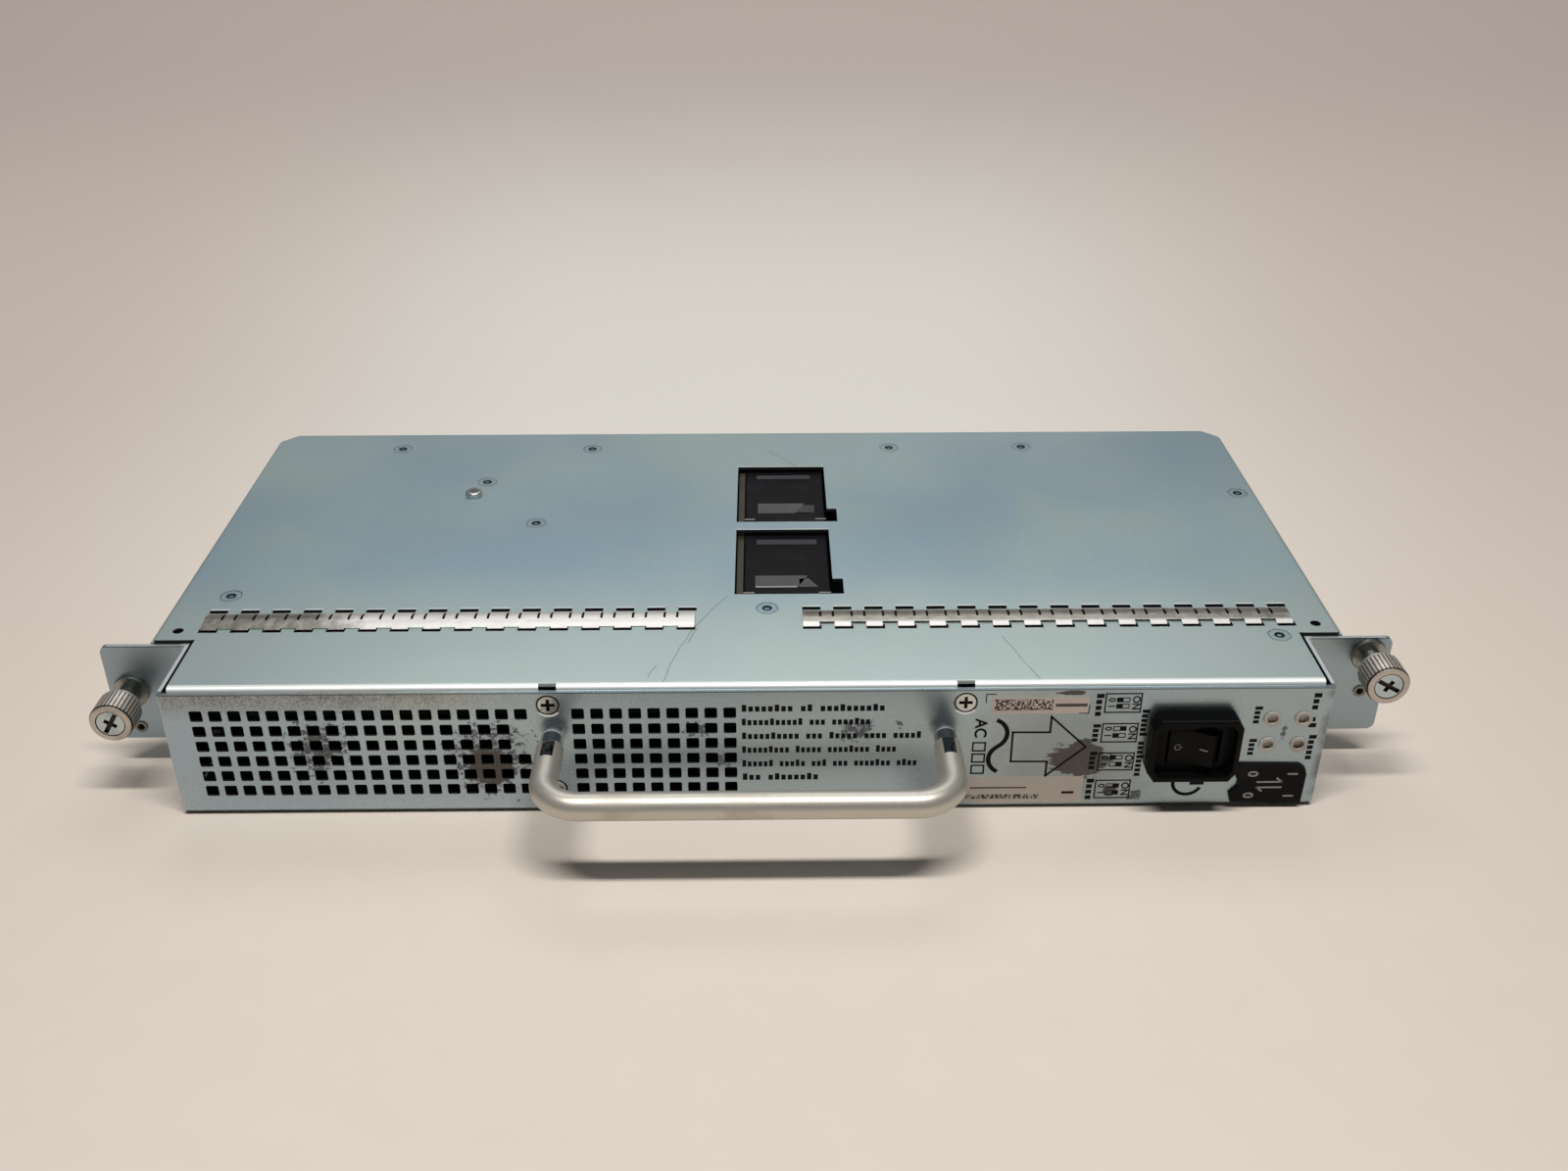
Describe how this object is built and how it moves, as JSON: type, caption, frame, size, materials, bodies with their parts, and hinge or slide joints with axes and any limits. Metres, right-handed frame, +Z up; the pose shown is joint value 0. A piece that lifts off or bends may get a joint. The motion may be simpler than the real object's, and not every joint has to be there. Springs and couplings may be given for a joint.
{
  "type": "router power supply module",
  "caption": "Shallow zinc-plated power supply module with a bar handle, square vents, guarded rocker switch, captive thumbscrews on ears and spring-finger gasket strips on top.",
  "frame": {"origin": "under the middle of the module on the surface it lies on", "axes": "+X to the right seen from the handle, +Y from the handle to the rear connectors, +Z up"},
  "size_m": [0.3906, 0.218, 0.0455],
  "materials": {
    "zinc_sheet": "zinc plated, satin",
    "satin_nickel": "satin",
    "polished_steel": "polished",
    "zinc_screw": "satin",
    "knob_nickel": "knurled, satin",
    "ferrule_steel": "dull",
    "spring_steel": "drawn wire",
    "bright_finger": "tin plated, bright",
    "brass_bush": "satin",
    "guard_black": "matte",
    "switch_black": "fine matte",
    "lens": "clear, dished",
    "lamp": "gloss",
    "setting_body": "matte",
    "setting_slider": "matte",
    "board_green": "solder mask",
    "relay_black": "moulded, satin",
    "amber_sheet": "film",
    "capacitor_sleeve": "sleeved",
    "film_yellow": "moulded",
    "winding": "enamelled copper",
    "ferrite": "sintered",
    "heatsink": "extruded",
    "connector_black": "moulded",
    "contact": "plated",
    "copper_bar": "plain",
    "fan_black": "moulded"
  },
  "bodies": {
    "chassis": {"upper_tray": "zinc_sheet", "front_panel": "zinc_sheet", "bottom_cover": "zinc_sheet", "rear_panel": "zinc_sheet", "side_screws": "zinc_screw", "clinch_standoffs": "zinc_screw", "board_screws": "zinc_screw", "heatsink_screw": "zinc_screw", "gasket_left": "bright_finger", "gasket_right": "bright_finger", "panel_screws": "zinc_screw", "handle": "satin_nickel", "handle_collars": "polished_steel", "handle_screws": "zinc_screw", "ear_bushes": "brass_bush", "ferrule_left": "ferrule_steel", "ferrule_right": "ferrule_steel", "spring_left": "spring_steel", "spring_right": "spring_steel", "switch_guard": "guard_black", "switch_body": "switch_black", "dip_cover": "guard_black", "dip_switch": "setting_body", "front_board": "board_green", "light_pipes": "lens", "leds": "lamp", "main_board": "board_green", "insulation_sheet": "amber_sheet", "input_relay_front": "relay_black", "input_relay_rear": "relay_black", "fibre_barrier": "amber_sheet", "bulk_capacitors": "capacitor_sleeve", "pfc_choke": "winding", "emi_chokes": "winding", "film_capacitors": "film_yellow", "output_inductor": "winding", "output_capacitors": "capacitor_sleeve", "control_board": "board_green", "power_transistors": "relay_black", "output_busbars": "copper_bar", "transformer_core": "ferrite", "transformer_winding": "winding", "primary_heatsink": "heatsink", "rectifier_heatsink": "heatsink", "input_connector": "connector_black", "input_contacts": "contact", "output_connector": "connector_black", "output_blades": "contact", "fan_frame_a": "fan_black", "fan_frame_b": "fan_black"},
    "rocker": {"rocker": "switch_black"},
    "dip_low": {"dip_slider_low": "setting_slider"},
    "dip_high": {"dip_slider_high": "setting_slider"},
    "carrier_left": {"spring_cup_left": "ferrule_steel"},
    "carrier_right": {"spring_cup_right": "ferrule_steel"},
    "screw_left": {"captive_screw_left": "knob_nickel"},
    "screw_right": {"captive_screw_right": "knob_nickel"},
    "fan_a": {"fan_rotor_a": "fan_black"},
    "fan_b": {"fan_rotor_b": "fan_black"}
  },
  "joints": [
    {"name": "rocker_tip", "type": "hinge", "parent": "chassis", "child": "rocker", "pos_m": [0.1299, -0.07265, 0.0234], "axis": [0, 0, 1], "range_deg": [0, 26.8]},
    {"name": "dip_low_slide", "type": "slide", "parent": "chassis", "child": "dip_low", "axis": [1, 0, 0], "range_m": [0, 0.0026]},
    {"name": "dip_high_slide", "type": "slide", "parent": "chassis", "child": "dip_high", "axis": [1, 0, 0], "range_m": [0, 0.0026]},
    {"name": "thumbscrew_left_press", "type": "slide", "parent": "chassis", "child": "carrier_left", "axis": [0, 1, 0], "range_m": [0, 0.005], "stiffness_N_per_m": 250, "springref_m": -0.001, "deforming": ["spring_left"]},
    {"name": "thumbscrew_left_turn", "type": "hinge", "parent": "carrier_left", "child": "screw_left", "pos_m": [-0.1884, -0.05315, 0.027], "axis": [0, 1, 0], "continuous": true},
    {"name": "thumbscrew_right_press", "type": "slide", "parent": "chassis", "child": "carrier_right", "axis": [0, 1, 0], "range_m": [0, 0.005], "stiffness_N_per_m": 250, "springref_m": -0.001, "deforming": ["spring_right"]},
    {"name": "thumbscrew_right_turn", "type": "hinge", "parent": "carrier_right", "child": "screw_right", "pos_m": [0.1884, -0.05315, 0.037], "axis": [0, 1, 0], "continuous": true},
    {"name": "fan_a_spin", "type": "hinge", "parent": "chassis", "child": "fan_a", "pos_m": [-0.09575, 0.09145, 0.0218], "axis": [0, 1, 0], "continuous": true},
    {"name": "fan_b_spin", "type": "hinge", "parent": "chassis", "child": "fan_b", "pos_m": [-0.004, 0.09145, 0.0218], "axis": [0, 1, 0], "continuous": true}
  ]
}
